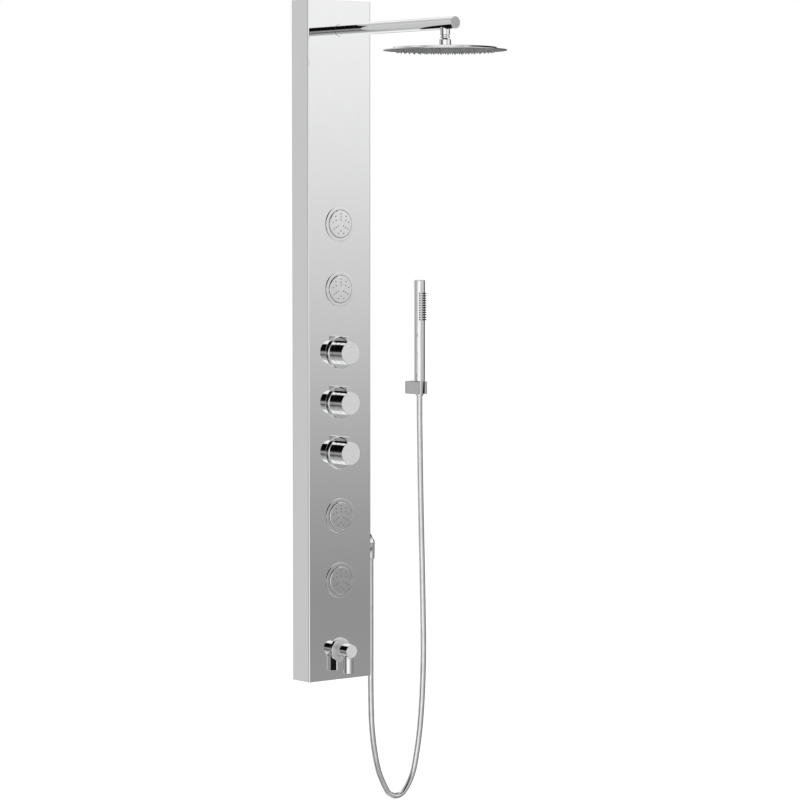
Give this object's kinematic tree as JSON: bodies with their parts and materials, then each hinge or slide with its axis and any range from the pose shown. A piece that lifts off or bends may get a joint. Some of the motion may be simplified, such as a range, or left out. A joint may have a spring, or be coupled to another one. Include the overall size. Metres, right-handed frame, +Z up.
{
  "type": "rainfall shower column",
  "caption": "Wall-hung shower column: tall folded steel panel with a rain arm and swivelling head, body jets, lever controls, a tub spout and a hand shower on a hose in a wall holder.",
  "frame": {"origin": "middle of the upper wall bracket's back face, on the wall, 150 mm below the panel's top", "axes": "+Z up, +Y into the wall (the panel faces -Y), +X to the right when facing the panel, towards the hand shower"},
  "size_m": [0.3932, 0.5565, 1.7879],
  "materials": {
    "mirror_steel": "mirror-polished stainless steel sheet",
    "chrome": "bright chrome plate on brass",
    "galvanised": "dull zinc-plated steel",
    "brass": "machined brass",
    "braid": "rubber tube in steel braid",
    "white_plastic": "satin moulded plastic",
    "grey_plastic": "satin moulded plastic",
    "nozzle_grey": "satin grey spray plate with soft nozzles",
    "silicone": "soft grey silicone",
    "hose_skin": "smooth silver hose skin"
  },
  "bodies": {
    "column": {"casing": "mirror_steel", "wall_bracket_upper": "galvanised", "wall_bracket_lower": "galvanised", "hanger_rail_upper": "galvanised", "hanger_rail_lower": "galvanised", "arm_tube": "chrome", "arm_lock_nut": "brass", "ball_stud": "chrome", "control_manifold": "brass", "jet_feed_pipe": "white_plastic", "riser_tube": "braid", "hand_feed_tube": "braid", "spout_feed_tube": "braid", "spout_flange": "chrome", "spout_body": "chrome", "spout_aerator": "grey_plastic", "spout_lock_nut": "brass", "elbow_flange": "chrome", "elbow_body": "chrome", "elbow_lock_nut": "brass", "holder_block": "chrome", "hose_elbow_nut": "chrome", "hose": "hose_skin", "jet_1_bezel": "chrome", "jet_1_body": "white_plastic", "jet_2_bezel": "chrome", "jet_2_body": "white_plastic", "jet_3_bezel": "chrome", "jet_3_body": "white_plastic", "jet_4_bezel": "chrome", "jet_4_body": "white_plastic", "diverter_cartridge": "brass", "diverter_lock_nut": "brass", "flow_cartridge": "brass", "flow_lock_nut": "brass", "temperature_cartridge": "brass", "temperature_lock_nut": "brass"},
    "ball_seat": {"ball_seat": "white_plastic"},
    "swivel_nut": {"swivel_nut": "chrome"},
    "rain_head": {"head_shell": "chrome", "nozzle_plate": "nozzle_grey"},
    "jet_1_face": {"jet_1_face": "chrome"},
    "jet_2_face": {"jet_2_face": "chrome"},
    "jet_3_face": {"jet_3_face": "chrome"},
    "jet_4_face": {"jet_4_face": "chrome"},
    "diverter_handle": {"diverter_spindle": "brass", "diverter_lever_ring": "chrome", "diverter_knob": "chrome"},
    "flow_handle": {"flow_spindle": "brass", "flow_lever_ring": "chrome", "flow_knob": "chrome"},
    "temperature_handle": {"temperature_spindle": "brass", "temperature_lever_ring": "chrome", "temperature_knob": "chrome"},
    "handset": {"handset_body": "chrome", "handset_cap": "chrome", "handset_nozzles": "silicone", "hose_cone_nut": "chrome"}
  },
  "joints": [
    {"name": "head_tilt", "type": "hinge", "parent": "column", "child": "ball_seat", "pos_m": [0, -0.4255, 0.0465], "axis": [1, 0, 0], "range_deg": [-8, 8]},
    {"name": "head_sway", "type": "hinge", "parent": "ball_seat", "child": "swivel_nut", "pos_m": [0, -0.4255, 0.0465], "axis": [0, 1, 0], "range_deg": [-8, 8]},
    {"name": "head_spin", "type": "hinge", "parent": "swivel_nut", "child": "rain_head", "pos_m": [0, -0.4255, 0.0465], "axis": [0, 0, 1], "continuous": true},
    {"name": "jet_1_tilt", "type": "hinge", "parent": "column", "child": "jet_1_face", "pos_m": [0, -0.0612, -0.3396], "axis": [1, 0, 0], "range_deg": [-8, 8]},
    {"name": "jet_2_tilt", "type": "hinge", "parent": "column", "child": "jet_2_face", "pos_m": [0, -0.0612, -0.4832], "axis": [1, 0, 0], "range_deg": [-8, 8]},
    {"name": "jet_3_tilt", "type": "hinge", "parent": "column", "child": "jet_3_face", "pos_m": [0, -0.0612, -0.985], "axis": [1, 0, 0], "range_deg": [-8, 8]},
    {"name": "jet_4_tilt", "type": "hinge", "parent": "column", "child": "jet_4_face", "pos_m": [0, -0.0612, -1.1286], "axis": [1, 0, 0], "range_deg": [-8, 8]},
    {"name": "diverter_turn", "type": "hinge", "parent": "column", "child": "diverter_handle", "pos_m": [0, -0.06, -0.6233], "axis": [0, -1, 0], "range_deg": [-135, 135]},
    {"name": "flow_turn", "type": "hinge", "parent": "column", "child": "flow_handle", "pos_m": [0, -0.06, -0.7341], "axis": [0, -1, 0], "range_deg": [0, 90]},
    {"name": "temperature_turn", "type": "hinge", "parent": "column", "child": "temperature_handle", "pos_m": [0, -0.06, -0.8449], "axis": [0, -1, 0], "range_deg": [-120, 120]},
    {"name": "handset_lift", "type": "slide", "parent": "column", "child": "handset", "axis": [0, 0, 1], "range_m": [0, 0.06]}
  ]
}
